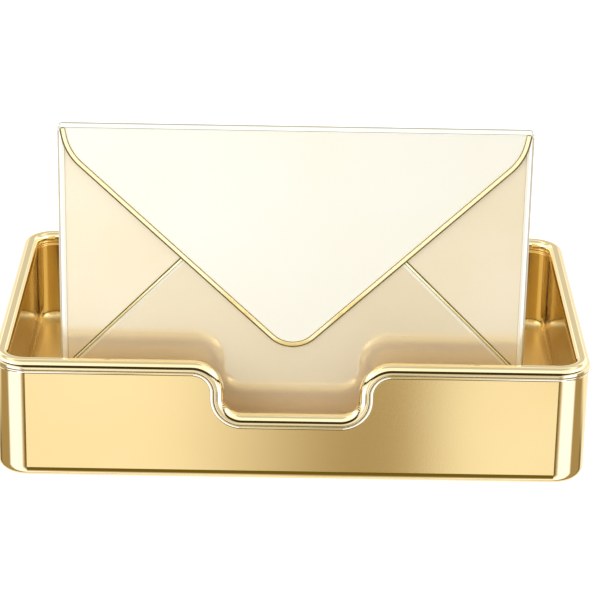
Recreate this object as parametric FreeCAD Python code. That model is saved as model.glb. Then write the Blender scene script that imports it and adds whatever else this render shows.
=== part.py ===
"""Envelope sorter: a double-walled metal desk tray with a finger notch, and an envelope-shaped
letter holder that stands in it and has a hinged flap.

Millimetres. +X runs along the width, +Y to the rear and +Z up. The origin is the centre of the
felt's underside, which is the face that the tray rests on.
"""

import FreeCAD, Part
import math
import os

V = FreeCAD.Vector

# Tray: outer size over the rim
tray_width = 260.0
tray_depth = 163.0
tray_corner = 14.9          # outer corner radius of the rim, seen from above
tray_height = 56.6          # top of the rim above the table

# Tray: sheet, felt and core
felt_sheet = 0.6
felt_inset = 4.8            # felt edge inside the flat part of the shell's floor
shell_sheet = 1.2
shell_bend = 5.4            # outside radius between the shell's floor and its walls
liner_sheet = 1.0
liner_bend = 5.6
wall_gap = 3.5              # air between the shell's wall and the liner's wall
core_thickness = 9.5
core_clearance = 0.3

# Rim moulding: a full bead with a small lip under it, slotted from below for both walls
rim_width = 6.9
rim_height = 6.1
rim_overhang = 0.6          # bead past each wall face
rim_crown_radius = 2.8      # over each top corner
rim_side_radius = 5.0       # down each side
rim_side_lean = 20.0        # from upright, where the crown meets the side
rim_bead_height = 4.3
rim_bead_foot = 0.42        # radius under the bead
rim_groove_depth = 0.25     # between the bead and the lip
rim_groove_height = 0.2
rim_lip_overhang = 0.37     # lip past each wall face
rim_lip_radius = 0.22
rim_slot_depth = 2.55
rim_slot_clearance = 0.05

# Finger notch: the rim's centre line drops in two bends on each side
notch_half_width = 32.3
notch_drop = 24.6
notch_bend = 11.0

# Envelope body
envelope_width = 202.6
envelope_height = 141.65
envelope_setback = 12.5     # flap's front face behind the rim's inner edge
flap_sheet = 0.6
leaf_sheet = 0.5
back_sheet = 0.7
pocket_gap = 4.2            # clear room for letters between the leaves and the back
flap_clearance = 0.3
edge_width = 3.2            # half-round edge strip, measured across the face
edge_round = 2.4
edge_corner = 3.0           # inside radius of the strip's lower corners
edge_fit = 0.05
top_clearance = 1.0         # under the flap's top fold

# Leaves: all slopes are measured from the level line
seam_slope = 45.4
seam_apex = 145.8           # height where both seams would meet
seam_bead_radius = 0.9
leaf_overlap = 10.0
leaf_tip_radius = 4.0
throat_height = 105.0
throat_dip = 12.0

# Flap
flap_slope = 43.4
flap_apex = 53.45           # height of the sharp point before it is rounded
flap_tip_radius = 13.0
flap_shoulder_radius = 23.0
flap_shoulder_lean = 10.0   # from upright
flap_half_width = 98.8
flap_bead_radius = 1.15
flap_fold_radius = 0.95
flap_corner = 2.2

# Hinge
hinge_length = 180.0
hinge_leaf = 0.6
hinge_leaf_height = 12.0
hinge_leaf_reach = 4.4      # moving leaf, forward of the pin
knuckle_count = 15
knuckle_radius = 1.2
knuckle_gap = 0.3
pin_radius = 0.5
pin_clearance = 0.05
pin_head_radius = 0.9
pin_head_height = 0.6
rivet_radius = 0.8
rivet_head_radius = 1.5
rivet_head_height = 0.7
rivet_count = 7
rivet_drop = 7.5            # below the pin

# Channel that holds the envelope upright
channel_length = 160.0
channel_sheet = 1.0
channel_height = 12.0
channel_bend = 1.6
channel_felt_sheet = 1.0
channel_felt_setback = 2.0  # felt short of the channel at each end
channel_felt_drop = 0.6     # felt below the channel's top edges
envelope_clearance = 0.3

# Screws
screw_radius = 1.5
screw_hole_clearance = 0.1
screw_thread_clearance = 0.02
screw_head_radius = 2.6
screw_head_height = 0.9
channel_screw_pitch = 60.0
channel_screw_bite = 4.0
base_screw_bite = 4.4
base_screw_inset = 34.0     # from the tray's outer faces

# Levels
shell_floor = felt_sheet
core_floor = shell_floor + shell_sheet
liner_floor = core_floor + core_thickness
tray_floor = liner_floor + liner_sheet
channel_floor = tray_floor + channel_sheet
envelope_floor = channel_floor + channel_felt_sheet + envelope_clearance
envelope_top = envelope_floor + envelope_height
panel_top = envelope_top - flap_sheet - top_clearance

# Plan sizes
shell_width = tray_width - 2 * rim_overhang
shell_depth = tray_depth - 2 * rim_overhang
shell_corner = tray_corner - rim_overhang
liner_inset = shell_sheet + wall_gap
wall_pair = liner_inset + liner_sheet
rim_centre_height = tray_height - rim_height / 2
wall_drop = rim_height / 2 - rim_slot_depth

# Layers of the envelope, from the front to the back
envelope_front = rim_width + envelope_setback - tray_depth / 2
flap_back = envelope_front + flap_sheet
leaf_front = flap_back + flap_clearance
side_leaf_front = leaf_front + leaf_sheet
pocket_front = side_leaf_front + leaf_sheet
pocket_back = pocket_front + pocket_gap
envelope_back = pocket_back + back_sheet
body_thickness = envelope_back - leaf_front
body_centre = leaf_front + body_thickness / 2

inner_half_width = envelope_width / 2 - edge_width
inner_floor = envelope_floor + edge_width
pin_y = envelope_back + knuckle_radius + flap_clearance
pin_z = envelope_top - flap_sheet - knuckle_radius


def line(start, end):
    return Part.makeLine(start, end)


def path_edges(corners, place, closed):
    """Edges through (u, v, radius) corners, with an arc at each corner that has a radius."""
    count = len(corners)
    spans = []
    for i, (u, v, radius) in enumerate(corners):
        point = place(u, v)
        if radius <= 0 or (not closed and i in (0, count - 1)):
            spans.append((point, None, point))
            continue
        before = (place(*corners[i - 1][:2]) - point).normalize()
        after = (place(*corners[(i + 1) % count][:2]) - point).normalize()
        half = before.getAngle(after) / 2
        reach = radius / math.tan(half)
        bisector = (before + after).normalize()
        middle = point + bisector * (radius / math.sin(half) - radius)
        spans.append((point + before * reach, middle, point + after * reach))
    edges = []
    for i, (start, middle, end) in enumerate(spans):
        if middle is not None:
            edges.append(Part.Arc(start, middle, end).toShape())
        if closed or i < count - 1:
            following = spans[(i + 1) % count][0]
            if (following - end).Length > 1e-6:
                edges.append(line(end, following))
    return edges


def outline(corners, place):
    return Part.Wire(path_edges(corners, place, True))


def plate(corners, place, thickness):
    """Flat plate: the outline extruded along the vector thickness."""
    return Part.Face(outline(corners, place)).extrude(thickness)


def sweep(profile, edges):
    """Carries the profile along joined lines and arcs, one extrusion or turn for each."""
    face = Part.Face(profile)
    runs = []
    for edge in edges:
        start, end = edge.valueAt(edge.FirstParameter), edge.valueAt(edge.LastParameter)
        if isinstance(edge.Curve, Part.Circle):
            centre, axis = edge.Curve.Center, edge.Curve.Axis
            turn = math.degrees(edge.LastParameter - edge.FirstParameter)
            runs.append(face.revolve(centre, axis, turn))
            face = face.rotate(centre, axis, turn)
        else:
            runs.append(face.extrude(end - start))
            face = face.translate(end - start)
    return runs[0].multiFuse(runs[1:]).removeSplitter()


def cylinder(radius, start, direction, length):
    return Part.makeCylinder(radius, length, start, direction)


def mirrored(shape):
    return shape.mirror(V(0, 0, 0), V(1, 0, 0))


def facing(y):
    """Places (x, z) on the upright plane at y."""
    return lambda x, z: V(x, y, z)


def across(x):
    """Places (y, z) on the upright plane at x."""
    return lambda y, z: V(x, y, z)


def rectangle(width, depth, radius):
    x, y = width / 2, depth / 2
    return [(x, -y, radius), (x, y, radius), (-x, y, radius), (-x, -y, radius)]


def rounded_block(width, depth, radius, bottom, top):
    place = lambda x, y: V(x, y, bottom)
    return plate(rectangle(width, depth, radius), place, V(0, 0, top - bottom))


def fillet_floor(solid, bottom, radius):
    rim = [e for e in solid.Edges if all(abs(v.Z - bottom) < 1e-6 for v in e.Vertexes)]
    return solid.makeFillet(radius, rim)


def notch_corners(offset):
    """Corners (x, z, radius) of the rim's centre line over the front wall, lowered by offset."""
    side = notch_half_width
    low = rim_centre_height - notch_drop - offset
    high = rim_centre_height - offset
    left = [
        (-side - offset, high, notch_bend - offset),
        (-side - offset, low, notch_bend + offset),
    ]
    return left + [(-x, z, r) for x, z, r in reversed(left)]


def notch_cutter(offset):
    """Block over the front wall that leaves the wall's top edge at the offset below the rim."""
    reach = tray_width
    high = rim_centre_height - offset
    above = tray_height + 1
    corners = [(-reach, high, 0)] + notch_corners(offset) + [(reach, high, 0)]
    corners += [(reach, above, 0), (-reach, above, 0)]
    return plate(corners, facing(-tray_depth), V(0, tray_depth, 0))


def drawn_pan(width, depth, corner, bottom, sheet, bend):
    """Pan drawn from sheet, with its top edge cut for the notch."""
    top = rim_centre_height - wall_drop
    outside = rounded_block(width, depth, corner, bottom, top)
    outside = fillet_floor(outside, bottom, bend)
    floor = bottom + sheet
    hollow = rounded_block(width - 2 * sheet, depth - 2 * sheet, corner - sheet, floor, top + 1)
    hollow = fillet_floor(hollow, floor, bend - sheet)
    return outside.cut(hollow).cut(notch_cutter(wall_drop))


def countersunk_screw(x, y, face, direction, bite):
    """Screw with its flat head in the plane face; direction is +1 upward or -1 downward."""
    axis = V(0, 0, direction)
    head = Part.makeCone(screw_head_radius, screw_radius, screw_head_height, V(x, y, face), axis)
    return head.fuse(cylinder(screw_radius, V(x, y, face), axis, bite)).removeSplitter()


def screw_seat(x, y, face, direction):
    """Countersunk hole through one sheet."""
    axis = V(0, 0, direction)
    start = V(x, y, face)
    wide = screw_head_radius + screw_hole_clearance
    narrow = screw_radius + screw_hole_clearance
    cone = Part.makeCone(wide, narrow, screw_head_height, start, axis)
    return cone.fuse(cylinder(narrow, start, axis, 2 * shell_sheet))


def base_screw_places():
    side = tray_width / 2 - base_screw_inset
    end = tray_depth / 2 - base_screw_inset
    return [(x, y) for x in (-side, 0, side) for y in (-end, end)]


def channel_screw_places():
    return [(x, body_centre) for x in (-channel_screw_pitch, 0, channel_screw_pitch)]


def outer_shell():
    pan = drawn_pan(shell_width, shell_depth, shell_corner, shell_floor, shell_sheet, shell_bend)
    return pan.cut([screw_seat(x, y, shell_floor, 1) for x, y in base_screw_places()])


def inner_liner():
    width = shell_width - 2 * liner_inset
    depth = shell_depth - 2 * liner_inset
    pan = drawn_pan(width, depth, shell_corner - liner_inset, liner_floor, liner_sheet, liner_bend)
    radius = screw_radius + screw_hole_clearance
    holes = [
        cylinder(radius, V(x, y, liner_floor - 1), V(0, 0, 1), liner_sheet + 2)
        for x, y in channel_screw_places()
    ]
    return pan.cut(holes)


def core_board():
    inset = 2 * (shell_bend + core_clearance)
    corner = shell_corner - shell_bend
    board = rounded_block(shell_width - inset, shell_depth - inset, corner, core_floor, liner_floor)
    radius = screw_radius + screw_thread_clearance
    below = [
        cylinder(radius, V(x, y, shell_floor), V(0, 0, 1), base_screw_bite + screw_thread_clearance)
        for x, y in base_screw_places()
    ]
    above = [
        cylinder(radius, V(x, y, channel_floor), V(0, 0, -1), channel_screw_bite + screw_thread_clearance)
        for x, y in channel_screw_places()
    ]
    return board.cut(below + above)


def base_felt():
    inset = 2 * (shell_bend + felt_inset)
    width = shell_width - inset
    depth = shell_depth - inset
    return rounded_block(width, depth, shell_corner - shell_bend, 0, felt_sheet)


def base_screws():
    return [countersunk_screw(x, y, shell_floor, 1, base_screw_bite) for x, y in base_screw_places()]


def rim_half_outline():
    """Corners (u, v, radius) of the rim's outer face, from the crown down to the lip's foot.

    The crown and side arcs meet on a short leaning stretch, a little longer than both need.
    """
    top = rim_height / 2
    bead = rim_width / 2
    lean = math.radians(rim_side_lean)
    crown_reach = rim_crown_radius * math.tan((math.pi / 2 - lean) / 2)
    side_reach = rim_side_radius * math.tan(lean / 2)
    stretch = 1.01 * (crown_reach + side_reach)
    foot = top - rim_bead_height
    lip = wall_pair / 2 + rim_lip_overhang
    lip_top = foot - rim_groove_height
    return [
        (bead - stretch * math.sin(lean), top, rim_crown_radius),
        (bead, top - stretch * math.cos(lean), rim_side_radius),
        (bead, foot, rim_bead_foot),
        (lip - rim_groove_depth, foot, 0),
        (lip - rim_groove_depth, lip_top, 0),
        (lip, lip_top, rim_lip_radius),
        (lip, -top, rim_lip_radius),
    ]


def rim_profile():
    """Section of the rim on the rear wall, looking along X: bead, lips and two wall slots."""
    low = -rim_height / 2
    slot_top = low + rim_slot_depth
    outer_face = wall_pair / 2
    gap = rim_slot_clearance
    slots = [
        (outer_face + gap, outer_face - shell_sheet - gap),
        (liner_sheet - outer_face + gap, -outer_face - gap),
    ]
    corners = rim_half_outline()
    for near, far in slots:
        corners += [(near, low, 0), (near, slot_top, 0), (far, slot_top, 0), (far, low, 0)]
    corners += [(-u, v, r) for u, v, r in reversed(rim_half_outline())]
    centre = tray_depth / 2 - rim_width / 2
    return outline(corners, lambda u, v: V(0, centre + u, rim_centre_height + v))


def rim_path():
    """Closed centre line: round the tray at one level, with the notch in the front run."""
    x = tray_width / 2 - rim_width / 2
    y = tray_depth / 2 - rim_width / 2
    radius = tray_corner - rim_width / 2
    level = lambda u, v: V(u, v, rim_centre_height)
    back = [(0, y, 0), (-x, y, radius), (-x, -y, radius), (radius - x, -y, 0)]
    left = path_edges(back, level, False)
    front = [(radius - x, rim_centre_height, 0)] + notch_corners(0) + [(x - radius, rim_centre_height, 0)]
    middle = path_edges(front, facing(-y), False)
    forward = [(x - radius, -y, 0), (x, -y, radius), (x, y, radius), (0, y, 0)]
    right = path_edges(forward, level, False)
    return left + middle + right


def rim_moulding():
    return sweep(rim_profile(), rim_path())


def channel_section(outer_half, sheet, bottom, top, bend, x, length):
    """Upright U of sheet round the envelope's foot, extruded along X."""
    low, high = body_centre - outer_half, body_centre + outer_half
    corners = [
        (low, top, 0),
        (low, bottom, bend),
        (high, bottom, bend),
        (high, top, 0),
        (high - sheet, top, 0),
        (high - sheet, bottom + sheet, bend - sheet),
        (low + sheet, bottom + sheet, bend - sheet),
        (low + sheet, top, 0),
    ]
    return plate(corners, across(x), V(length, 0, 0))


def envelope_channel():
    felt_half = body_thickness / 2 + envelope_clearance + channel_felt_sheet
    half = felt_half + channel_sheet
    top = tray_floor + channel_height
    end = -channel_length / 2
    body = channel_section(half, channel_sheet, tray_floor, top, channel_bend, end, channel_length)
    seats = [screw_seat(x, y, channel_floor, -1) for x, y in channel_screw_places()]
    return body.cut(seats)


def channel_felt():
    half = body_thickness / 2 + envelope_clearance + channel_felt_sheet
    top = tray_floor + channel_height - channel_felt_drop
    length = channel_length - 2 * channel_felt_setback
    bend = channel_felt_sheet + (channel_bend - channel_sheet)
    return channel_section(half, channel_felt_sheet, channel_floor, top, bend, -length / 2, length)


def channel_screws():
    places = channel_screw_places()
    return [countersunk_screw(x, y, channel_floor, -1, channel_screw_bite) for x, y in places]


def edge_frame():
    """Half-round strip down both sides and along the foot."""
    side = inner_half_width
    corners = [
        (-side, panel_top, 0),
        (-side, inner_floor, edge_corner),
        (side, inner_floor, edge_corner),
        (side, panel_top, 0),
    ]
    path = path_edges(corners, facing(body_centre), False)
    section = [
        (-side, leaf_front, 0),
        (-side - edge_width, leaf_front, edge_round),
        (-side - edge_width, envelope_back, edge_round),
        (-side, envelope_back, 0),
    ]
    return sweep(outline(section, lambda x, y: V(x, y, panel_top)), path)


def panel_floor_corners():
    """Lower corners of a panel inside the edge frame, from left to right."""
    side = inner_half_width - edge_fit
    low = inner_floor + edge_fit
    return [(-side, low, edge_corner - edge_fit), (side, low, edge_corner - edge_fit)]


def rivet_places():
    pitch = hinge_length / rivet_count
    return [pitch * (i - (rivet_count - 1) / 2) for i in range(rivet_count)]


def back_panel():
    left, right = panel_floor_corners()
    corners = [(left[0], panel_top, 0), left, right, (right[0], panel_top, 0)]
    panel = plate(corners, facing(pocket_back), V(0, back_sheet, 0))
    holes = [
        cylinder(rivet_radius, V(x, pocket_back, pin_z - rivet_drop), V(0, 1, 0), back_sheet)
        for x in rivet_places()
    ]
    return panel.cut(holes)


def seam_height(x, lowered):
    """Height at x of the seam line moved square to itself by lowered."""
    slope = math.radians(seam_slope)
    return seam_apex - abs(x) * math.tan(slope) - lowered / math.cos(slope)


def flap_line_height(x, raised):
    """Height at x of the flap's straight edge moved square to itself by raised."""
    slope = math.radians(flap_slope)
    return flap_apex + abs(x) * math.tan(slope) + raised / math.cos(slope)


def left_leaf():
    """Side leaf: a triangle whose long edges hide under the flap and under the bottom leaf."""
    side = inner_half_width - edge_fit
    seam, flap = math.radians(seam_slope), math.radians(flap_slope)
    low_apex = seam_height(0, leaf_overlap)
    high_apex = flap_line_height(0, leaf_overlap)
    tip = (low_apex - high_apex) / (math.tan(seam) + math.tan(flap))
    shoulder = (panel_top - high_apex) / math.tan(flap)
    corners = [
        (-side, seam_height(side, leaf_overlap), 0),
        (-tip, flap_line_height(tip, leaf_overlap), leaf_tip_radius),
    ]
    if shoulder < side:
        corners += [(-shoulder, panel_top, 0), (-side, panel_top, 0)]
    else:
        corners += [(-side, flap_line_height(side, leaf_overlap), 0)]
    return plate(corners, facing(side_leaf_front), V(0, leaf_sheet, 0))


def right_leaf():
    return mirrored(left_leaf())


def bottom_leaf():
    """Bottom leaf: laps over both side leaves, with a curved throat hidden by the flap."""
    left, right = panel_floor_corners()
    side = right[0]
    below = seam_bead_radius
    seam = math.radians(seam_slope)
    throat = (seam_height(0, below) - throat_height) / math.tan(seam)
    place = facing(leaf_front)
    corners = [(throat, throat_height, 0), (side, seam_height(side, below), 0), right, left]
    corners += [(-side, seam_height(side, below), 0), (-throat, throat_height, 0)]
    edges = path_edges(corners, place, False)
    dip = place(0, throat_height - throat_dip)
    edges.append(Part.Arc(place(-throat, throat_height), dip, place(throat, throat_height)).toShape())
    return Part.Face(Part.Wire(edges)).extrude(V(0, leaf_sheet, 0))


def left_seam_bead():
    """Round bead along the bottom leaf's edge, from the edge frame up to the flap."""
    slope, flap = math.radians(seam_slope), math.radians(flap_slope)
    clear = flap_bead_radius + 1.2 * flap_clearance
    limit = flap_line_height(0, -clear)
    top = (seam_apex - limit) / (math.tan(slope) + math.tan(flap))
    foot = inner_half_width - edge_fit - seam_bead_radius * math.sin(slope)
    y = side_leaf_front - seam_bead_radius
    start = V(-foot, y, seam_height(foot, 0))
    end = V(-top, y, seam_height(top, 0))
    return cylinder(seam_bead_radius, start, end - start, (end - start).Length)


def right_seam_bead():
    return mirrored(left_seam_bead())


def flap_corners(inset):
    """Corners (x, z, radius) of the flap's pointed edge, from the top left to the top right."""
    slope = math.radians(flap_slope)
    lean = math.radians(flap_shoulder_lean)
    half = flap_half_width - inset / math.cos(lean)
    tip = flap_line_height(0, inset)
    drop = envelope_top - tip
    shoulder = (half - drop * math.tan(lean)) / (1 - math.tan(lean) * math.tan(slope))
    left = [
        (-half, envelope_top, 0),
        (-shoulder, tip + shoulder * math.tan(slope), flap_shoulder_radius - inset),
    ]
    return left + [(0, tip, flap_tip_radius - inset)] + [(-x, z, r) for x, z, r in reversed(left)]


def flap_panel():
    """One sheet: the pointed front, folded over the top of the envelope."""
    front = plate(flap_corners(flap_bead_radius), facing(envelope_front), V(0, flap_sheet, 0))
    half = envelope_width / 2
    low = envelope_top - flap_sheet
    fold = [
        (envelope_front, envelope_top, flap_fold_radius),
        (envelope_front, low - flap_fold_radius, 0),
        (flap_back, low - flap_fold_radius, 0),
        (flap_back, low, flap_fold_radius - flap_sheet),
        (envelope_back, low, 0),
        (envelope_back, envelope_top, 0),
    ]
    strip = plate(fold, across(-half), V(2 * half, 0, 0))
    blank = [
        (-half, envelope_top, flap_corner),
        (-half, envelope_floor, 0),
        (half, envelope_floor, 0),
        (half, envelope_top, flap_corner),
    ]
    strip = strip.common(plate(blank, facing(envelope_front), V(0, envelope_back - envelope_front, 0)))
    return strip.fuse(front.cut(rounded_top_trim())).removeSplitter().cut(flap_bead())


def rounded_top_trim():
    """What the fold's outer radius takes off the front sheet."""
    reach = flap_fold_radius
    side, low = -envelope_width / 2, envelope_top - reach
    corner = Part.makeBox(envelope_width, reach, reach, V(side, envelope_front, low))
    axis = V(side, envelope_front + reach, low)
    return corner.cut(cylinder(reach, axis, V(1, 0, 0), envelope_width))


def flap_bead():
    """Round bead along the pointed edge, with a domed end at each top corner."""
    y = flap_back - flap_bead_radius
    corners = flap_corners(0)
    lean = math.tan(math.radians(flap_shoulder_lean))
    start = corners[0][0] + flap_bead_radius * lean
    level = envelope_top - flap_bead_radius
    corners = [(start, level, 0)] + corners[1:-1] + [(-start, level, 0)]
    path = path_edges(corners, facing(y), False)
    first = path[0].FirstParameter
    circle = Part.makeCircle(flap_bead_radius, path[0].valueAt(first), path[0].tangentAt(first))
    domes = [Part.makeSphere(flap_bead_radius, V(x, y, level)) for x in (start, -start)]
    return sweep(Part.Wire(circle), path).fuse(domes).removeSplitter()


def knuckle_spans(first):
    """(start, length) along X of every second knuckle, from the one numbered first."""
    pitch = hinge_length / knuckle_count
    for i in range(first, knuckle_count, 2):
        yield -hinge_length / 2 + i * pitch + knuckle_gap / 2, pitch - knuckle_gap


def hinge_half(leaf, first):
    """Leaf with its knuckles, bored for the pin and cleared for the other leaf's knuckles."""
    along = V(1, 0, 0)
    knuckles = [
        cylinder(knuckle_radius, V(x, pin_y, pin_z), along, length) for x, length in knuckle_spans(first)
    ]
    room = knuckle_radius + knuckle_gap
    relief = [
        cylinder(room, V(x - knuckle_gap, pin_y, pin_z), along, length + 2 * knuckle_gap)
        for x, length in knuckle_spans(1 - first)
    ]
    bore = cylinder(pin_radius + pin_clearance, V(-hinge_length, pin_y, pin_z), along, 2 * hinge_length)
    return leaf.fuse(knuckles).removeSplitter().cut(relief + [bore])


def hinge_fixed_leaf():
    start = V(knuckle_gap / 2 - hinge_length / 2, envelope_back, pin_z - hinge_leaf_height)
    leaf = Part.makeBox(hinge_length - knuckle_gap, hinge_leaf, hinge_leaf_height, start)
    holes = [
        cylinder(rivet_radius, V(x, envelope_back, pin_z - rivet_drop), V(0, 1, 0), hinge_leaf)
        for x in rivet_places()
    ]
    return hinge_half(leaf, 0).cut(holes)


def hinge_moving_leaf():
    level = pin_z + knuckle_radius - hinge_leaf
    start = V(knuckle_gap / 2 - hinge_length / 2, pin_y - hinge_leaf_reach, level)
    leaf = Part.makeBox(hinge_length - knuckle_gap, hinge_leaf_reach, hinge_leaf, start)
    return hinge_half(leaf, 1)


def hinge_pin():
    along = V(1, 0, 0)
    half = hinge_length / 2
    rod = cylinder(pin_radius, V(-half, pin_y, pin_z), along, 2 * half)
    heads = [
        cylinder(pin_head_radius, V(x, pin_y, pin_z), along, pin_head_height)
        for x in (-half - pin_head_height, half)
    ]
    return rod.fuse(heads).removeSplitter()


def hinge_rivets():
    """Rivets, flush inside the pocket, with a domed head on the hinge leaf."""
    seat = envelope_back + hinge_leaf
    sphere = (rivet_head_radius ** 2 + rivet_head_height ** 2) / (2 * rivet_head_height)
    rivets = []
    for x in rivet_places():
        z = pin_z - rivet_drop
        ball = Part.makeSphere(sphere, V(x, seat + rivet_head_height - sphere, z))
        outer = cylinder(rivet_head_radius, V(x, seat, z), V(0, 1, 0), rivet_head_height)
        shank = cylinder(rivet_radius, V(x, pocket_back, z), V(0, 1, 0), seat - pocket_back)
        rivets.append(ball.common(outer).fuse(shank).removeSplitter())
    return rivets


PIECES = [
    outer_shell, inner_liner, rim_moulding, core_board, base_felt, base_screws,
    envelope_channel, channel_felt, channel_screws,
    back_panel, edge_frame, left_leaf, right_leaf, bottom_leaf, left_seam_bead, right_seam_bead,
    hinge_fixed_leaf, hinge_pin, hinge_rivets,
    flap_panel, flap_bead, hinge_moving_leaf,
]


def main():
    os.makedirs("parts", exist_ok=True)
    for piece in PIECES:
        made = piece()
        solids = Part.makeCompound(made if isinstance(made, list) else [made]).Solids
        shape = solids[0] if len(solids) == 1 else Part.makeCompound(solids)
        shape.exportStep("parts/" + piece.__name__ + ".step")


main()
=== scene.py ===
import math

import bpy
import numpy as np
from mathutils import Matrix, Vector


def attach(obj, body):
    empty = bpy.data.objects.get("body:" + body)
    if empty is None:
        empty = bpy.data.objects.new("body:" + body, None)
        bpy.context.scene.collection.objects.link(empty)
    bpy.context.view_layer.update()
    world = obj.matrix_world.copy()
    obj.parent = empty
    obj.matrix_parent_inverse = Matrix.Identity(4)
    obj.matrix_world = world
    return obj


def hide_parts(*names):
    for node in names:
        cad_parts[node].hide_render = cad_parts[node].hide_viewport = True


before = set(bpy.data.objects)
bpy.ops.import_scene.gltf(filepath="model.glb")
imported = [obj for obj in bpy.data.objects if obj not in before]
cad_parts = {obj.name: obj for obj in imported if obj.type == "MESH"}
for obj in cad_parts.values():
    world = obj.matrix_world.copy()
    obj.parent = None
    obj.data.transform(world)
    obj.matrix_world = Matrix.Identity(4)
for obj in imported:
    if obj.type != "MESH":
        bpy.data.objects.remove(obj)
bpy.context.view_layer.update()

MM = 0.001
SHARP = math.radians(35.0)      # edges that turn more than this shade sharp

GRAIN_IN_TONE = 0.35            # how much of a plate's tone follows its grain
TINT = {"data_type": "RGBA", "blend_type": "MULTIPLY"}

# the liner, in mm
LINER_FLOOR, LINER_BEND = 12.6, 4.0     # where its walls begin, and how high they take over
FRONT_WALL = (-68.0, -60.0)             # y where the front wall's finish ends and the rest's begins
FRONT_SATIN, FLOOR_SATIN = 0.5, 0.34    # roughness
FRONT_METALLIC, REST_METALLIC = 0.15, 0.92


# ---------------------------------------------------------------- colours and nodes

def linear(code):
    """sRGB hex code as linear red, green, blue and alpha."""
    steps = [int(code[i:i + 2], 16) / 255 for i in (1, 3, 5)]
    return [s / 12.92 if s <= 0.04045 else ((s + 0.055) / 1.055) ** 2.4 for s in steps] + [1.0]


def add(tree, kind, settings=None, links=None):
    """Adds one node: settings are its properties, unlinked sockets or ramp stops, links its inputs.

    A link comes from an output, or from a node, which stands for its first output.
    """
    made = tree.nodes.new(kind)
    for name, value in (settings or {}).items():
        if name == "stops":
            while len(made.color_ramp.elements) < len(value):
                made.color_ramp.elements.new(1.0)
            for element, (place, colour) in zip(made.color_ramp.elements, value):
                element.position = place
                element.color = linear(colour) if isinstance(colour, str) else [*colour, 1.0]
        elif isinstance(name, str) and hasattr(made, name):
            setattr(made, name, value)
        else:
            made.inputs[name].default_value = value
    for name, source in (links or {}).items():
        output = source.outputs[0] if isinstance(source, bpy.types.Node) else source
        tree.links.new(output, made.inputs[name])
    return made


def place_in_mm(tree):
    """The piece's own coordinates in millimetres."""
    place = add(tree, "ShaderNodeTexCoord").outputs["Object"]
    return add(tree, "ShaderNodeVectorMath", {"operation": "SCALE", "Scale": 1 / MM}, {0: place})


def start_material(name):
    """Empty node material with its Principled shader, and the piece's coordinates in mm."""
    material = bpy.data.materials.new(name)
    material.use_nodes = True
    tree = material.node_tree
    tree.nodes.clear()
    shader = add(tree, "ShaderNodeBsdfPrincipled")
    add(tree, "ShaderNodeOutputMaterial", {}, {"Surface": shader})
    return material, tree, shader, place_in_mm(tree)


def plated(name, light, deep, roughness, spread=0.02, grain=0.8, wave=30.0, bump=0.001,
           metallic=1.0):
    """Plated metal: a mirror-like plate whose tone drifts a little and whose grain is fine.

    light and deep are the two tones; roughness varies by spread; grain is the size in mm of the
    polishing grain, drawn about as coarse as shows; wave is the size in mm of the slow drift;
    bump is the grain's height in mm; metallic is below 1 where clear lacquer lies over the plate.
    """
    material, tree, shader, place = start_material(name)
    drift = add(tree, "ShaderNodeTexNoise", {"Scale": 1 / wave, "Detail": 2.0}, {"Vector": place})
    fine = add(tree, "ShaderNodeTexNoise", {"Scale": 1 / grain, "Detail": 3.0}, {"Vector": place})
    mixed = add(tree, "ShaderNodeMath", {"operation": "MULTIPLY_ADD", 1: GRAIN_IN_TONE},
                {0: fine, 2: drift})
    tone = add(tree, "ShaderNodeValToRGB", {"stops": [(0.35, deep), (0.95, light)]}, {0: mixed})
    dull = add(tree, "ShaderNodeMapRange", {3: roughness - spread, 4: roughness + spread},
               {0: fine})
    raised = add(tree, "ShaderNodeBump", {"Distance": bump * MM}, {"Height": fine})
    tree.links.new(tone.outputs[0], shader.inputs["Base Color"])
    tree.links.new(dull.outputs[0], shader.inputs["Roughness"])
    tree.links.new(raised.outputs[0], shader.inputs["Normal"])
    shader.inputs["Metallic"].default_value = metallic
    return material


def finish_and_shade_liner(material, share, front):
    """Sets the liner's plate apart by place: its floor, its walls and the front wall's inner side.

    share multiplies the tone on the side and rear walls: painted shade, for their dark
    mirroring of one another. front multiplies the tone on the front wall's inner side: a
    painted deeper yellow, for the gold that the envelope's foot mirrors of it. The floor is
    satin. The front wall's inner side is more so, and has the most lacquer.
    """
    tree = material.node_tree
    shader = tree.nodes["Principled BSDF"]
    tone = shader.inputs["Base Color"].links[0].from_socket
    dull = shader.inputs["Roughness"].links[0].from_socket
    place = add(tree, "ShaderNodeSeparateXYZ", {}, {0: place_in_mm(tree)})
    high = add(tree, "ShaderNodeMapRange", {1: LINER_FLOOR, 2: LINER_FLOOR + LINER_BEND},
               {0: place.outputs["Z"]})
    ahead, past = FRONT_WALL
    behind = add(tree, "ShaderNodeMapRange", {1: ahead, 2: past}, {0: place.outputs["Y"]})
    where = add(tree, "ShaderNodeMath", {"operation": "MULTIPLY"}, {0: high, 1: behind})
    # painted shade: the side and rear walls' tone is multiplied by share
    deeper = add(tree, "ShaderNodeMix", {**TINT, 7: (*share, 1)}, {0: where, 6: tone})
    # painted reflection colour: the front wall's inner side is tinted a deeper yellow by front
    near = add(tree, "ShaderNodeMix", {"data_type": "RGBA", 6: (*front, 1), 7: (1, 1, 1, 1)},
               {0: behind})
    whole = add(tree, "ShaderNodeMix", {**TINT, 0: 1.0},
                {6: deeper.outputs[2], 7: near.outputs[2]})
    satin = add(tree, "ShaderNodeMix", {2: FRONT_SATIN}, {0: behind, 3: dull})
    satin = add(tree, "ShaderNodeMix", {2: FLOOR_SATIN}, {0: high, 3: satin.outputs[0]})
    bare = add(tree, "ShaderNodeMapRange", {1: ahead, 2: past, 3: FRONT_METALLIC, 4: REST_METALLIC},
               {0: place.outputs["Y"]})
    tree.links.new(whole.outputs[2], shader.inputs["Base Color"])
    tree.links.new(satin.outputs[0], shader.inputs["Roughness"])
    tree.links.new(bare.outputs[0], shader.inputs["Metallic"])


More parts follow.
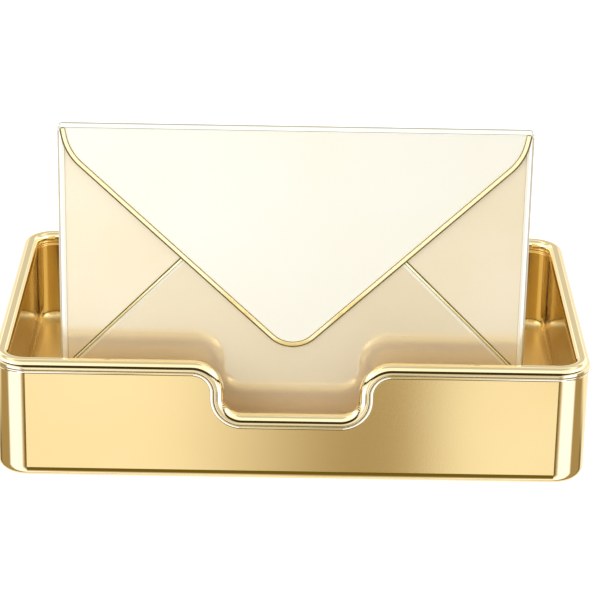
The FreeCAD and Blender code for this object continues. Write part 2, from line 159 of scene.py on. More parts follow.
def tint_bands(material, bands):
    """Multiplies the plate's tone by the share within each band.

    A band is a list of limits that all hold in it: an axis, with the mm at which the band starts,
    is full, begins to fade and ends; X counts from the middle, either way.
    """
    tree = material.node_tree
    shader = tree.nodes["Principled BSDF"]
    tone = shader.inputs["Base Color"].links[0].from_socket
    place = add(tree, "ShaderNodeSeparateXYZ", {}, {0: place_in_mm(tree)})
    for limits, share in bands:
        where = None
        for axis, start, full, fading, end in limits:
            spot = place.outputs[axis]
            if axis == "X":
                spot = add(tree, "ShaderNodeMath", {"operation": "ABSOLUTE"}, {0: spot})
            rising = add(tree, "ShaderNodeMapRange", {1: start, 2: full}, {0: spot})
            falling = add(tree, "ShaderNodeMapRange", {1: end, 2: fading}, {0: spot})
            within = add(tree, "ShaderNodeMath", {"operation": "MULTIPLY"},
                         {0: rising, 1: falling})
            if where:
                within = add(tree, "ShaderNodeMath", {"operation": "MULTIPLY"},
                             {0: where, 1: within})
            where = within
        mixed = add(tree, "ShaderNodeMix", {**TINT, 7: (*share, 1)}, {0: where, 6: tone})
        tone = mixed.outputs[2]
    tree.links.new(tone, shader.inputs["Base Color"])


def felt(name, light, deep):
    """Pressed wool felt: matt, with soft clumps of about 1.5 mm and fibres of about 0.3 mm."""
    material, tree, shader, place = start_material(name)
    clump, fibre = 1.5, 0.3
    clumps = add(tree, "ShaderNodeTexNoise", {"Scale": 1 / clump, "Detail": 4.0},
                 {"Vector": place})
    fibres = add(tree, "ShaderNodeTexNoise", {"Scale": 1 / fibre, "Detail": 4.0, "Distortion": 1.5},
                 {"Vector": place})
    mixed = add(tree, "ShaderNodeMath", {"operation": "MULTIPLY_ADD", 1: 0.5},
                {0: fibres, 2: clumps})
    tone = add(tree, "ShaderNodeValToRGB", {"stops": [(0.5, deep), (1.0, light)]}, {0: mixed})
    raised = add(tree, "ShaderNodeBump", {"Strength": 0.8, "Distance": 0.2 * MM}, {"Height": mixed})
    tree.links.new(tone.outputs[0], shader.inputs["Base Color"])
    tree.links.new(raised.outputs[0], shader.inputs["Normal"])
    shader.inputs["Roughness"].default_value = 0.95
    shader.inputs["Sheen Weight"].default_value = 0.3
    return material


def fibreboard(name, light, deep):
    """Bare medium-density fibreboard: matt brown, with a fleck of pressed fibres 1 mm long."""
    material, tree, shader, place = start_material(name)
    fleck = add(tree, "ShaderNodeTexNoise", {"Scale": 1.0, "Detail": 5.0}, {"Vector": place})
    tone = add(tree, "ShaderNodeValToRGB", {"stops": [(0.35, deep), (0.65, light)]}, {0: fleck})
    raised = add(tree, "ShaderNodeBump", {"Strength": 0.5, "Distance": 0.1 * MM}, {"Height": fleck})
    tree.links.new(tone.outputs[0], shader.inputs["Base Color"])
    tree.links.new(raised.outputs[0], shader.inputs["Normal"])
    shader.inputs["Roughness"].default_value = 0.8
    return material


# ---------------------------------------------------------------- shapes

def rounded(corners, closed, step):
    """Points along straight runs through (u, v, radius) corners, with an arc at each rounded one.

    An arc touches its two runs at radius / tan(half the angle between them) from the corner, and
    its centre lies radius / sin(that half) along their bisector. It has a point every step
    degrees or less. A run has an extra point 0.1 mm inside each end, so that flat and round
    shade apart.
    """
    points = []
    count = len(corners)
    spots = np.array([c[:2] for c in corners], float)
    for i, (u, v, radius) in enumerate(corners):
        corner = spots[i]
        if radius <= 0 or (not closed and i in (0, count - 1)):
            points.append(corner[None, :])
            continue
        before = spots[i - 1] - corner
        after = spots[(i + 1) % count] - corner
        before /= np.linalg.norm(before)
        after /= np.linalg.norm(after)
        half = math.acos(float(np.clip(before @ after, -1, 1))) / 2
        reach = radius / math.tan(half)
        middle = (before + after) / np.linalg.norm(before + after)
        centre = corner + middle * radius / math.sin(half)
        first = corner + before * reach - centre
        across = -middle * radius
        turn = math.pi - 2 * half
        n = max(3, math.ceil(math.degrees(turn) / step) + 1)
        angle = np.linspace(-turn / 2, turn / 2, n)[:, None]
        side = corner + after * reach - centre - first
        side /= np.linalg.norm(side)
        points.append(centre + across * np.cos(angle) + side * radius * np.sin(angle))
    joined = np.vstack(points)
    following = np.roll(joined, -1, axis=0)
    length = np.linalg.norm(following - joined, axis=1)
    last = len(joined) if closed else len(joined) - 1
    extra = 0.1
    out = []
    for i in range(last):
        out.append(joined[i])
        if length[i] > 6 * extra:
            way = (following[i] - joined[i]) / length[i]
            out += [joined[i] + way * extra, following[i] - way * extra]
    if not closed:
        out.append(joined[-1])
    return np.array(out)


def put_mesh(name, points, faces, material, body, replaces=()):
    """Makes the piece from points in mm and faces; it rides on the body and stands for nodes."""
    mesh = bpy.data.meshes.new(name)
    mesh.from_pydata((np.asarray(points) * MM).tolist(), [], faces)
    mesh.polygons.foreach_set("use_smooth", [True] * len(mesh.polygons))
    mesh.set_sharp_from_angle(angle=SHARP)
    mesh.materials.append(material)
    mesh.validate()
    piece = bpy.data.objects.new(name, mesh)
    bpy.context.scene.collection.objects.link(piece)
    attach(piece, body)
    if replaces:
        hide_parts(*replaces)


def grid_faces(rows, columns, wrap_rows, wrap_columns, flip=False):
    """Quads over a rows by columns grid of points, numbered row by row; flip turns them over."""
    r = np.arange(rows if wrap_rows else rows - 1)[:, None]
    c = np.arange(columns if wrap_columns else columns - 1)[None, :]
    below, beside = (r + 1) % rows, (c + 1) % columns
    quads = np.stack([r * columns + c, below * columns + c,
                      below * columns + beside, r * columns + beside], axis=-1).reshape(-1, 4)
    return (quads[:, ::-1] if flip else quads).tolist()


def carry(profile, centre, outward, upward):
    """Grid of points: the profile's (u, v) along the outward and upward ways of each centre."""
    u, v = profile[None, :, 0, None], profile[None, :, 1, None]
    return centre[:, None, :] + u * outward[:, None, :] + v * upward[:, None, :]


# ---------------------------------------------------------------- the tray's rim

TRAY_WIDTH, TRAY_DEPTH, TRAY_CORNER, TRAY_HEIGHT = 260.0, 163.0, 14.9, 56.6
SHELL_SHEET, LINER_SHEET, WALL_PAIR = 1.2, 1.0, 5.7     # WALL_PAIR is both walls with their gap
NOTCH_HALF, NOTCH_DROP, NOTCH_BEND = 32.3, 24.6, 11.0
RIM_WIDTH, RIM_HEIGHT = 6.9, 6.1
RIM_LEVEL = TRAY_HEIGHT - RIM_HEIGHT / 2
RIM_CROWN, RIM_SIDE, RIM_LEAN = 2.8, 5.0, math.radians(20.0)    # two radii; lean from upright
RIM_BEAD, RIM_FOOT = 4.3, 0.42          # the bead's height, and the radius under it
RIM_LIP, RIM_SLOT = 0.37, 2.55          # the lip's reach past the walls, and the slots' depth
RIM_SKIN, SLOT_GAP = 0.06, 0.03         # metal outside the walls, and air round them
GROOVE, LIP_EDGE, LIP_FOOT = 0.35, 0.8, 1.4     # levels below the bead's foot
LINE_SKIN, LINE_REACH, LINE_HEIGHT = 0.04, 0.24, 0.32   # the dark strip of painted shade that lies in the groove
LINE_TUCK = 0.02                        # how far that line stays below the bead's foot


def rim_half():
    """Corners of the rim's outer face: crown, leaning side, bead foot, groove and lip.

    The leaning run is as long as both its arcs need, where an arc takes radius * tan(half its
    turn) of it, and 1 percent more.
    """
    top, bead, lean = RIM_HEIGHT / 2, RIM_WIDTH / 2, RIM_LEAN
    run = 1.01 * (RIM_CROWN * math.tan((math.pi / 2 - lean) / 2) + RIM_SIDE * math.tan(lean / 2))
    foot, lip, skin = top - RIM_BEAD, WALL_PAIR / 2 + RIM_LIP, WALL_PAIR / 2 + RIM_SKIN
    return [(bead - run * math.sin(lean), top, RIM_CROWN),
            (bead, top - run * math.cos(lean), RIM_SIDE),
            (bead, foot, RIM_FOOT), (skin, foot, 0), (skin, foot - GROOVE, 0),
            (lip, foot - GROOVE, 0.1), (lip, foot - LIP_EDGE, 0.2), (skin, foot - LIP_FOOT, 0),
            (skin, -top, 0)]


def rim_section():
    """The rim's closed section: both faces and the two slots that take the walls' top edges."""
    low, half = -RIM_HEIGHT / 2, WALL_PAIR / 2
    slots = [(half + SLOT_GAP, half - SHELL_SHEET - SLOT_GAP),
             (LINER_SHEET - half + SLOT_GAP, -half - SLOT_GAP)]
    corners = rim_half()
    for near, far in slots:
        corners += [(near, low, 0), (near, low + RIM_SLOT, 0), (far, low + RIM_SLOT, 0),
                    (far, low, 0)]
    return (corners + [(-u, v, r) for u, v, r in reversed(rim_half())])[::-1]


def rim_line():
    """Centre line of the rim, once round from the middle of the back, with its two square ways.

    Straight runs and quarter turns of a circle round the tray at one level; over the front wall
    the line drops into the notch by two bends each side. The outward way stays level, and the
    upward way is square to it and to the line, so it turns with the bends.
    """
    x, y = TRAY_WIDTH / 2 - RIM_WIDTH / 2, TRAY_DEPTH / 2 - RIM_WIDTH / 2
    r = TRAY_CORNER - RIM_WIDTH / 2
    plan = rounded([(0, y, 0), (-x, y, r), (-x, -y, r), (r - x, -y, 0)], False, step=4.5)
    high, low = RIM_LEVEL, RIM_LEVEL - NOTCH_DROP
    fall = [(r - x, high, 0), (-NOTCH_HALF, high, NOTCH_BEND), (-NOTCH_HALF, low, NOTCH_BEND),
            (NOTCH_HALF, low, NOTCH_BEND), (NOTCH_HALF, high, NOTCH_BEND), (x - r, high, 0)]
    front = rounded(fall, False, step=5.0)
    left = np.column_stack([plan, np.full(len(plan), high)])
    middle = np.column_stack([front[:, 0], np.full(len(front), -y), front[:, 1]])
    right = left[::-1] * [-1, 1, 1]
    line = np.vstack([left[:-1], middle, right[1:-1]])
    along = np.roll(line, -1, axis=0) - np.roll(line, 1, axis=0)
    along /= np.linalg.norm(along, axis=1)[:, None]
    level = np.column_stack([-along[:, 1], along[:, 0], np.zeros(len(along))])
    on_front = np.zeros(len(line), bool)
    on_front[len(left) - 1:len(left) - 1 + len(middle)] = True
    outward = np.where(on_front[:, None], [0.0, -1.0, 0.0], -level)
    outward /= np.linalg.norm(outward, axis=1)[:, None]
    upward = np.cross(outward, along)
    return line, outward, upward


def rim_moulding(bright, dark):
    """The rim's section carried round its line, with painted shade: a dark strip in each face's
    groove.
    """
    line, outward, upward = rim_line()
    near, top = WALL_PAIR / 2 + LINE_SKIN, RIM_HEIGHT / 2 - RIM_BEAD - LINE_TUCK
    far, low = near + LINE_REACH, top - LINE_HEIGHT
    groove = [(near, top, 0), (near, low, 0), (far, low, 0), (far, top, 0)]
    pieces = [("rim_bead", rim_section(), bright), ("rim_groove_shade_outside", groove, dark),
              ("rim_groove_shade_inside", [(-u, v, r) for u, v, r in reversed(groove)], dark)]
    for name, corners, material in pieces:
        section = rounded(corners, True, step=10.0)
        points = carry(section, line, outward, upward)
        faces = grid_faces(len(line), len(section), True, True)
        put_mesh(name, points.reshape(-1, 3), faces, material, "tray",
                 ["rim_moulding"])


# ---------------------------------------------------------------- the envelope's beads

ENVELOPE_TOP = 156.25
FLAP_BACK, LEAF_FRONT = -61.5, -60.7    # y of the flap's inner face and the bottom leaf's lap
FLAP_SLOPE, FLAP_LEAN = math.radians(43.4), math.radians(10.0)
FLAP_APEX, FLAP_HALF = 53.45, 98.8
FLAP_SHOULDER, FLAP_TIP = 23.0, 13.0    # radii
FLAP_SHEET = 0.6
SEAM_SLOPE, SEAM_APEX = math.radians(45.4), 145.8
SEAM_FOOT, SEAM_TUCK = 97.4, 1.6        # x of the seam's foot; its head's reach under the flap

# sections in mm: u is away from the flap, or towards the side leaf; v is forward
FLAP_BAND = [(-0.92, 0.4, 0), (-0.92, 1.5, 0.14), (0.68, 0.92, 0.14), (0.68, 0.4, 0)]
# painted shade: a dark strip under the flap's band, showing as a line at either side
FLAP_SHADE_STRIP = [(-1.12, 0.1, 0), (-1.12, 0.7, 0.1), (1.4, 0.7, 0.2), (1.4, 0.1, 0.1)]
# painted shade: a dark strip under the seam's band, showing as a line at either side
SEAM_SHADE_STRIP = [(-0.62, 0.1, 0), (-0.62, 0.62, 0.05), (0.3, 0.62, 0), (0.4, 0.34, 0.1),
               (0.88, 0.3, 0.1), (0.88, 0.02, 0)]
SEAM_BAND = [(-0.42, 0.3, 0), (-0.42, 0.74, 0.12), (0.42, 1.05, 0.15), (0.42, 0.2, 0)]
# the hem's rounding catches real light; its plate, paler than the bottom leaf's, is a painted
# highlight
SEAM_HEM = [(-1.9, 0.44, 0), (-1.84, 0.55, 0), (-0.62, 0.62, 0.05), (-0.62, 0.44, 0)]


def strip(name, section, line, back, material, body, replaces=()):
    """Closed strip: the (u, v) section carried along an open (x, z) line.

    u is square to the line and v is forward; back is the y of the section's foot; the strip's
    two ends are flat.
    """
    way = np.gradient(line, axis=0)
    way /= np.linalg.norm(way, axis=1)[:, None]
    none = np.zeros(len(line))
    centre = np.column_stack([line[:, 0], np.full(len(line), back), line[:, 1]])
    outward = np.column_stack([way[:, 1], none, -way[:, 0]])
    forward = np.tile([0.0, -1.0, 0.0], (len(line), 1))
    section = rounded(section, True, step=12.0)
    points = carry(section, centre, outward, forward)
    faces = grid_faces(len(line), len(section), False, True, True)
    last = (len(line) - 1) * len(section)
    faces += [list(range(len(section))), list(range(last + len(section) - 1, last - 1, -1))]
    put_mesh(name, points.reshape(-1, 3), faces, material, body, replaces)


def flap_line():
    """Middle of the flap's bead: down from each top corner, round the shoulder, and to the tip.

    The long edge is z = apex + |x| tan(slope). The short one leans in from the top corner:
    |x| = half width - (top - z) tan(lean). The shoulder's corner is where they meet.
    """
    rise, lean = math.tan(FLAP_SLOPE), math.tan(FLAP_LEAN)
    shoulder = (FLAP_HALF - (ENVELOPE_TOP - FLAP_APEX) * lean) / (1 - lean * rise)
    left = [(-FLAP_HALF + FLAP_SHEET * lean, ENVELOPE_TOP - FLAP_SHEET, 0),
            (-shoulder, FLAP_APEX + shoulder * rise, FLAP_SHOULDER)]
    right = [(-x, z, r) for x, z, r in reversed(left)]
    return rounded(left + [(0, FLAP_APEX, FLAP_TIP)] + right, False, step=3.0)


def seam_line(side):
    """Middle of one seam's bead: z = seam apex - |x| tan(seam slope), from the frame to the flap.

    side is -1 for left or 1 for right. It ends a little inside the flap's edge.
    """
    fall = SEAM_APEX - FLAP_APEX + SEAM_TUCK / math.cos(FLAP_SLOPE)
    head = fall / (math.tan(SEAM_SLOPE) + math.tan(FLAP_SLOPE))
    run = np.linspace(SEAM_FOOT, head, 12)
    line = np.column_stack([side * run, SEAM_APEX - run * math.tan(SEAM_SLOPE)])
    return line if side > 0 else line[::-1]


def flap_edge(bright, dark):
    """Polished band round the flap, on a darker strip of painted shade: a line along either side.
    """
    line = flap_line()
    for name, section, material in (("flap_edge_band", FLAP_BAND, bright),
                                    ("flap_edge_shade_strip", FLAP_SHADE_STRIP, dark)):
        strip(name, section, line, FLAP_BACK, material, "flap", ["flap_bead"])


def seam_edges(bright, dark, pale):
    """Seam bands: a bright band on a dark strip of painted shade, beside a pale rolled hem on the
    bottom leaf; the hem's rounding is real, and its pale plate a painted highlight.
    """
    for side, word in ((-1, "left"), (1, "right")):
        line = seam_line(side)
        node = word + "_seam_bead"
        strip(word + "_seam_shade_strip", SEAM_SHADE_STRIP, line, LEAF_FRONT, dark,
              "envelope", [node])
        strip(word + "_seam_band", SEAM_BAND, line, LEAF_FRONT, bright,
              "envelope", [node])
        strip(word + "_seam_hem", SEAM_HEM, line, LEAF_FRONT, pale, "envelope")


# ---------------------------------------------------------------- stage

# tones of the studio, as linear red, green and blue
WHITE, LIGHT, TAN = (1.1, 1.1, 1.1), (1.35, 1.5, 2.2), (0.75, 0.62, 0.42)
SKY, SIDE_SKY, ZENITH = (1.25, 1.25, 1.25), (2.5, 2.5, 2.6), (0.68, 0.66, 0.62)
HAZE, DUSK = (0.74, 0.7, 0.62), (1.0, 0.97, 0.85)
GLOOM, GAP, OUTLINE = (0.05, 0.035, 0.01), (0.17, 0.13, 0.02), (0.3, 0.27, 0.2)
BROWN, OLIVE = (0.42, 0.34, 0.2), (0.2, 0.17, 0.08)
NONE, PART, FULL = (0, 0, 0), (0.45, 0.45, 0.45), (1, 1, 1)     # shares

# by degrees above the horizon: the sky in front and behind, and the bright stretch at the sides
FRONT_SKY = [(-90, WHITE), (-12, WHITE), (-8, GLOOM), (12, GLOOM), (15, SKY), (90, SKY)]
BACK_SKY = [(-90, TAN), (-35, TAN), (-30, WHITE), (-8, WHITE), (-2, DUSK), (14, DUSK),
            (20, HAZE), (46, HAZE), (54, SKY), (90, SKY)]
SIDE_RISE = [(15, NONE), (19, FULL), (34, FULL), (39, NONE)]
# by degrees from the front, either way: that bright stretch, and the part below the horizon
SIDE_TURN = [(38, NONE), (46, FULL), (98, FULL), (108, PART), (164, PART), (171, NONE)]
LOW_TURN = [(0, TAN), (17, TAN), (24, LIGHT), (64, LIGHT), (72, BROWN), (108, BROWN),
            (116, OLIVE), (122, OLIVE), (128, WHITE), (180, WHITE)]
GLOOM_RISE = 4.0                        # the middle of the dark stretch in front
CARD_TURN = 7.0                         # the two tables below run from this far left to right
CARD_SIDE, CARD_FOOT, CARD_TOP = 8.0, -27.5, (-21.5, -23.5)
GAP_SIDE, GAP_FOOT = 14.0, 55.0         # degrees that count as one off the card's side and foot
# below the horizon in front, above the card, from left to right: white that fades to haze
PALE = [(0.0, WHITE), (0.15, WHITE), (0.7, HAZE), (1.0, HAZE)]
# the card that the front wall faces, from left to right: white, with a soft brown flag
CARD = [(0.0, WHITE), (0.3, WHITE), (0.6, BROWN), (0.7, BROWN), (0.8, WHITE), (1.0, WHITE)]


def stops(bands, low, high):
    """Ramp settings from (degrees, tone) pairs, for a ramp that runs from low to high degrees."""
    return {"stops": [((degrees - low) / (high - low), tone) for degrees, tone in bands]}


def look_ways(tree):
    """A look's y, its degrees above the horizon, and its degrees from the front, right positive.

    They are arcsin(z), and arctan(x / -y) over the full circle.
    """
    way = add(tree, "ShaderNodeTexCoord").outputs["Generated"]
    x, y, z = add(tree, "ShaderNodeSeparateXYZ", {}, {0: way}).outputs
    ahead = add(tree, "ShaderNodeMath", {"operation": "MULTIPLY", 1: -1.0}, {0: y})
    turn = add(tree, "ShaderNodeMath", {"operation": "ARCTAN2"}, {0: x, 1: ahead})
    lift = add(tree, "ShaderNodeMath", {"operation": "ARCSINE"}, {0: z})
    swing = add(tree, "ShaderNodeMath", {"operation": "DEGREES"}, {0: turn})
    rise = add(tree, "ShaderNodeMath", {"operation": "DEGREES"}, {0: lift})
    return y, rise, swing


def make_sky(tree, y, rise, rise_place, aside, aside_place):
    """The sky in front and behind, the greyer top, and a brighter stretch low at either side.

    The dark stretch in front thins to either side: there its rise is stretched 1 to 3 times.
    The side stretch is what the tray's floor takes from the inner walls.
    """
    thin = add(tree, "ShaderNodeMapRange", {1: 10.0, 2: 50.0, 3: 1.0, 4: 3.0}, {0: aside})
    middle = add(tree, "ShaderNodeMath", {"operation": "ADD", 1: -GLOOM_RISE}, {0: rise})
    stretched = add(tree, "ShaderNodeMath", {"operation": "MULTIPLY_ADD", 2: GLOOM_RISE},
                    {0: middle, 1: thin})
    front_place = add(tree, "ShaderNodeMapRange", {1: -90.0, 2: 90.0}, {0: stretched})
    front = add(tree, "ShaderNodeValToRGB", stops(FRONT_SKY, -90, 90), {0: front_place})
    back = add(tree, "ShaderNodeValToRGB", stops(BACK_SKY, -90, 90), {0: rise_place})
    behind = add(tree, "ShaderNodeMapRange", {1: -0.15, 2: 0.15}, {0: y})
    whole = add(tree, "ShaderNodeMix", {"data_type": "RGBA"}, {0: behind, 6: front, 7: back})
    top = add(tree, "ShaderNodeMapRange", {1: 60.0, 2: 68.0}, {0: rise})
    whole = add(tree, "ShaderNodeMix", {"data_type": "RGBA", 7: (*ZENITH, 1)},
                {0: top, 6: whole.outputs[2]})
    beside = add(tree, "ShaderNodeValToRGB", stops(SIDE_TURN, 0, 180), {0: aside_place})
    level = add(tree, "ShaderNodeValToRGB", stops(SIDE_RISE, -90, 90), {0: rise_place})
    stretch = add(tree, "ShaderNodeMath", {"operation": "MULTIPLY"}, {0: beside, 1: level})
    whole = add(tree, "ShaderNodeMix", {"data_type": "RGBA", 7: (*SIDE_SKY, 1)},
                {0: stretch, 6: whole.outputs[2]})
    return whole.outputs[2]


def make_low_part(tree, whole, rise, aside, aside_place, across):
    """The part below the horizon all round, with a narrow pale stretch in front."""
    around = add(tree, "ShaderNodeValToRGB", stops(LOW_TURN, 0, 180), {0: aside_place})
    pale = add(tree, "ShaderNodeValToRGB", {"stops": PALE}, {0: across})
    low = add(tree, "ShaderNodeMapRange", {1: -9.0, 2: -13.0}, {0: rise})
    wide = add(tree, "ShaderNodeMapRange", {1: 12.0, 2: 16.0}, {0: aside})
    lower = add(tree, "ShaderNodeMix", {"data_type": "RGBA"}, {0: wide, 6: pale, 7: around})
    whole = add(tree, "ShaderNodeMix", {"data_type": "RGBA"},
                {0: low, 6: whole, 7: lower.outputs[2]})
    return whole.outputs[2]


def make_card(tree, whole, rise, aside, across):
    """A pale card low in front, with a dark gap that fades out round its sides and foot."""
    card = add(tree, "ShaderNodeValToRGB", {"stops": CARD}, {0: across})
    over = add(tree, "ShaderNodeMapRange",
               {1: CARD_SIDE, 2: CARD_SIDE + GAP_SIDE, "clamp": False}, {0: aside})
    under = add(tree, "ShaderNodeMapRange",
                {1: CARD_FOOT, 2: CARD_FOOT - GAP_FOOT, "clamp": False}, {0: rise})
    over = add(tree, "ShaderNodeMath", {"operation": "MAXIMUM", 1: 0.0}, {0: over})
    under = add(tree, "ShaderNodeMath", {"operation": "MAXIMUM", 1: 0.0}, {0: under})
    off = add(tree, "ShaderNodeCombineXYZ", {}, {0: over, 1: under})
    off = add(tree, "ShaderNodeVectorMath", {"operation": "LENGTH"}, {0: off}).outputs["Value"]
    edge = add(tree, "ShaderNodeMapRange", {1: 0.0, 2: 0.04, 3: 1.0, 4: 0.0}, {0: off})
    gap = add(tree, "ShaderNodeMapRange", {1: 0.55, 2: 0.95, 3: 1.0, 4: 0.0}, {0: off})
    below = add(tree, "ShaderNodeMapRange", {1: CARD_TOP[0], 2: CARD_TOP[1]}, {0: rise})
    ring = add(tree, "ShaderNodeMix", {"data_type": "RGBA", 6: (*GAP, 1)}, {0: edge, 7: card})
    framed = add(tree, "ShaderNodeMath", {"operation": "MULTIPLY"}, {0: gap, 1: below})
    whole = add(tree, "ShaderNodeMix", {"data_type": "RGBA"},
                {0: framed, 6: whole, 7: ring.outputs[2]})
    return whole.outputs[2]


def make_world():
    """Soft white studio, as the metal sees it; white to the camera and to matt surfaces.

    Angles are in degrees: rise is above the horizon, swing is from the front, and aside is swing
    either way. A place is an angle as a share of its ramp.
    """
    world = bpy.data.worlds.new("studio")
    bpy.context.scene.world = world
    world.use_nodes = True
    tree = world.node_tree
    tree.nodes.clear()
    y, rise, swing = look_ways(tree)
    aside = add(tree, "ShaderNodeMath", {"operation": "ABSOLUTE"}, {0: swing})
    rise_place = add(tree, "ShaderNodeMapRange", {1: -90.0, 2: 90.0}, {0: rise})
    aside_place = add(tree, "ShaderNodeMapRange", {1: 0.0, 2: 180.0}, {0: aside})
    across = add(tree, "ShaderNodeMapRange", {1: -CARD_TURN, 2: CARD_TURN}, {0: swing})

    whole = make_sky(tree, y, rise, rise_place, aside, aside_place)
    whole = make_low_part(tree, whole, rise, aside, aside_place, across)
    whole = make_card(tree, whole, rise, aside, across)

    rays = add(tree, "ShaderNodeLightPath")
    white = add(tree, "ShaderNodeBackground", {"Color": (1, 1, 1, 1)})
    reflected = add(tree, "ShaderNodeBackground", {}, {"Color": whole})
    shone = add(tree, "ShaderNodeMixShader", {},
                {0: rays.outputs["Is Glossy Ray"], 1: white, 2: reflected})
    both = add(tree, "ShaderNodeMixShader", {},
               {0: rays.outputs["Is Camera Ray"], 1: shone, 2: white})
    add(tree, "ShaderNodeOutputWorld", {}, {"Surface": both})


def make_floor():
    """Pale floor that takes the soft shadow.

    The metal sees the studio through it in front, and elsewhere white, with a darker patch
    behind the tray.
    """
    side = 6.0                          # m, as are the (start, end) pairs in which a part fades
    see_through, patch_start, patch_edge = (-0.06, -0.03), (0.09, 0.1), (0.145, 0.135)
    mesh = bpy.data.meshes.new("floor")
    corners = [(-side, -side, 0), (side, -side, 0), (side, side, 0), (-side, side, 0)]
    mesh.from_pydata(corners, [], [(0, 1, 2, 3)])
    floor = bpy.data.objects.new("floor", mesh)
    bpy.context.scene.collection.objects.link(floor)
    material = bpy.data.materials.new("pale_floor")
    material.use_nodes = True
    tree = material.node_tree
    tree.nodes.clear()
    place = add(tree, "ShaderNodeTexCoord").outputs["Object"]
    x, y, _ = add(tree, "ShaderNodeSeparateXYZ", {}, {0: place}).outputs

    width = add(tree, "ShaderNodeMath", {"operation": "ABSOLUTE"}, {0: x})
    narrow = add(tree, "ShaderNodeMapRange", {1: patch_edge[0], 2: patch_edge[1]}, {0: width})
    far = add(tree, "ShaderNodeMapRange", {1: patch_start[0], 2: patch_start[1]}, {0: y})
    patch = add(tree, "ShaderNodeMath", {"operation": "MULTIPLY"}, {0: narrow, 1: far})
    tone = add(tree, "ShaderNodeMix", {"data_type": "RGBA", 6: (*WHITE, 1), 7: (*OUTLINE, 1)},
               {0: patch})
    plain = add(tree, "ShaderNodeEmission", {}, {"Color": tone.outputs[2]})
    clear = add(tree, "ShaderNodeBsdfTransparent")
    beside = add(tree, "ShaderNodeMapRange", {1: see_through[0], 2: see_through[1]}, {0: y})
    metal = add(tree, "ShaderNodeMixShader", {}, {0: beside, 1: clear, 2: plain})

    shadowed = add(tree, "ShaderNodeBsdfDiffuse", {"Color": linear("#E6E4E0")})
    white = add(tree, "ShaderNodeEmission", {"Color": (0.8, 0.8, 0.8, 1)})
    shown = add(tree, "ShaderNodeAddShader", {}, {0: white, 1: shadowed})
    rays = add(tree, "ShaderNodeLightPath")
    direct = add(tree, "ShaderNodeMixShader", {},
                 {0: rays.outputs["Is Camera Ray"], 1: shadowed, 2: shown})
    both = add(tree, "ShaderNodeMixShader", {},
               {0: rays.outputs["Is Glossy Ray"], 1: direct, 2: metal})
    add(tree, "ShaderNodeOutputMaterial", {}, {"Surface": both})
    mesh.materials.append(material)


def soft_light(name, size, place, aim, power):
    """Square soft box of that size in m and power in W at the place, turned to the aim."""
    lamp = bpy.data.lights.new(name, "AREA")
    lamp.shape, lamp.size, lamp.energy = "SQUARE", size, power
    box = bpy.data.objects.new(name, lamp)
    box.location = place
    box.rotation_euler = (Vector(aim) - Vector(place)).to_track_quat("-Z", "Y").to_euler()
    box.visible_glossy = False
    bpy.context.scene.collection.objects.link(box)


def make_camera():
    """Long lens above the front, looking 22 degrees down and rolled by one degree."""
    fall, pan, roll = math.radians(22.0), math.radians(0.277), math.radians(1.043)
    place = (-0.00208, -1.1079, 0.5017)
    focal, width, sensor = 2603.3, 600, 36.0    # the first two in pixels, the sensor in mm
    ahead = Vector((math.sin(pan) * math.cos(fall), math.cos(pan) * math.cos(fall),
                    -math.sin(fall)))
    right = Vector((math.cos(pan), -math.sin(pan), 0.0))
    above = right.cross(ahead)
    turned = right * math.cos(roll) + above * math.sin(roll)
    upper = above * math.cos(roll) - right * math.sin(roll)
    lens = bpy.data.cameras.new("camera")
    lens.sensor_width, lens.lens = sensor, focal / width * sensor
    lens.clip_start, lens.clip_end = 0.05, 20.0
    camera = bpy.data.objects.new("camera", lens)
    turn = Matrix((turned, upper, -ahead)).transposed().to_4x4()
    camera.matrix_world = Matrix.Translation(place) @ turn
    bpy.context.scene.collection.objects.link(camera)
    bpy.context.scene.camera = camera


# ---------------------------------------------------------------- putting it together

SATIN = {"spread": 0.03, "grain": 0.9, "wave": 50.0, "bump": 0.004}
PALE_SATIN = {**SATIN, "wave": 60.0, "metallic": 0.4}
# the first two are painted shade for thin dark edge lines; the last is the flap's inner side
PAINTED_SHADE_LINE, PAINTED_SHADE_EDGE, LINING = (0.42, 0.42, 0.38), (0.62, 0.58, 0.52), (0.9, 0.82, 0.66)

# gold plate on satin-ground brass: a warm mirror with softened edges
tray_gold = plated("satin_gold_plate", "#FAE0A6", "#F6DA9C", 0.08, grain=0.9, wave=60.0,
                   bump=0.002)
# bright gold plate inside the tray, with painted shade on its side and rear walls for their
# dark mirroring of one another, and a painted deeper yellow on the front wall's inner side
liner_gold = plated("bright_gold_plate_painted_shade", "#FAE0A6", "#F4D797", 0.10, spread=0.03, grain=0.9,
                    wave=40.0, bump=0.003)
finish_and_shade_liner(liner_gold, (0.5, 0.47, 0.34), (1.0, 0.97, 0.45))
# polished gold plate: a clear mirror, with nearly white highlights
rim_gold = plated("polished_gold_plate", "#FBEBC0", "#F8E4B2", 0.05)
# champagne plate under clear lacquer: pale and softly shining; the bottom leaf's copy is darker:
# painted shade for the darker surroundings that it mirrors
envelope_gold = plated("champagne_satin_plate", "#F8EDD4", "#F4E6C6", 0.14, metallic=0.4,
                       **SATIN)
bottom_shaded_gold = plated("champagne_plate_painted_shade", "#F2E5CA", "#EDDFBE", 0.14, metallic=0.42,
                     **SATIN)
# the same plate without lacquer, on the envelope's back: a duller, plainly metallic gold
back_gold = plated("plain_champagne_plate", "#F0DCAC", "#EAD29A", 0.25,
                   **{**SATIN, "spread": 0.05})
# the palest plate, with the softest shine: nearly white sheet
flap_gold = plated("pale_champagne_plate_shade_lines", "#FFFEF5", "#FFFCED", 0.22, **PALE_SATIN)
frame_gold = plated("white_champagne_plate_shade_lines", "#FFFDF0", "#FEF8E2", 0.22, **PALE_SATIN)
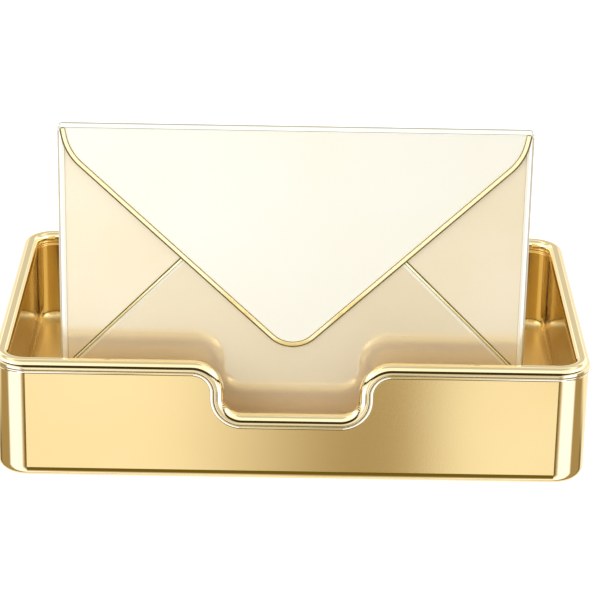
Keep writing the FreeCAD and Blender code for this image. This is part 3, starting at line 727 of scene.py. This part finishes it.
# painted shade: thin grey lines darken the fold's rear and front edges and the frame's sides;
# the flap's inner side is a little deeper
tint_bands(flap_gold, [
    ([("Y", -57.6, -57.2, -50.0, -49.0)], PAINTED_SHADE_LINE),
    ([("Z", 155.7, 155.8, 156.0, 156.1)], PAINTED_SHADE_LINE),
    ([("Y", -61.7, -61.6, -50.0, -49.0), ("Z", 0.0, 0.1, 155.2, 155.4)], LINING)])
tint_bands(frame_gold, [([("X", 100.25, 100.4, 103.0, 104.0)], PAINTED_SHADE_EDGE)])
# lacquered gold wire: an even, pale gold line
bead_gold = plated("polished_gold_wire", "#FCEBB0", "#F9E4A0", 0.16, metallic=0.45)
wire_gold = plated("satin_gold_wire", "#FFF6C4", "#FBEFB4", 0.12, metallic=0.45)
# painted shade: a dull olive plate laid as thin dark lines where shade falls, in the rim's
# grooves and along the flap's and seams' bands
painted_shade_gold = plated("gold_painted_shade_lines", "#8A7838", "#6B5A20", 0.45, spread=0.1,
                     wave=12.0, bump=0.002, metallic=0.6)
# tumbled gold plate on the small hinge parts: a soft mirror
hinge_gold = plated("gold_hinge_plate", "#F3DA98", "#E8CB82", 0.18, spread=0.05, wave=20.0,
                    bump=0.003)
# zinc plate on steel: cool grey, with a slight bloom
steel = plated("zinc_plated_steel", "#D0D0D0", "#B8B8B8", 0.3, spread=0.08, wave=10.0,
               bump=0.005)
# bare board and pressed felt: quite matt
board = fibreboard("bare_fibreboard", "#B08A5C", "#8A6640")
black_felt = felt("black_wool_felt", "#2A2825", "#141312")
brown_felt = felt("brown_wool_felt", "#8A7654", "#5C4C34")

FINISHES = {
    "outer_shell": tray_gold, "inner_liner": liner_gold, "rim_moulding": rim_gold,
    "core_board": board, "base_felt": black_felt, "base_screws": steel,
    "envelope_channel": liner_gold, "channel_felt": brown_felt, "channel_screws": steel,
    "back_panel": back_gold, "edge_frame": frame_gold, "left_leaf": envelope_gold,
    "right_leaf": envelope_gold, "bottom_leaf": bottom_shaded_gold, "left_seam_bead": bead_gold,
    "right_seam_bead": bead_gold, "hinge_fixed_leaf": hinge_gold, "hinge_pin": hinge_gold,
    "hinge_rivets": hinge_gold, "flap_panel": flap_gold, "flap_bead": bead_gold,
    "hinge_moving_leaf": hinge_gold,
}
for node_name, finish in FINISHES.items():
    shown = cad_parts[node_name].data.materials
    shown.clear()
    shown.append(finish)

rim_moulding(rim_gold, painted_shade_gold)
flap_edge(bead_gold, painted_shade_gold)
seam_edges(wire_gold, painted_shade_gold, frame_gold)

make_world()
make_floor()
soft_light("overhead_soft_box", size=1.2, place=(0.1, 0.1, 1.5), aim=(0, 0, 0), power=10.0)
soft_light("front_soft_box", size=1.0, place=(-1.2, -1.0, 0.7), aim=(0, 0, 0.08), power=6.2)
make_camera()
bpy.context.scene.view_settings.view_transform = "Standard"
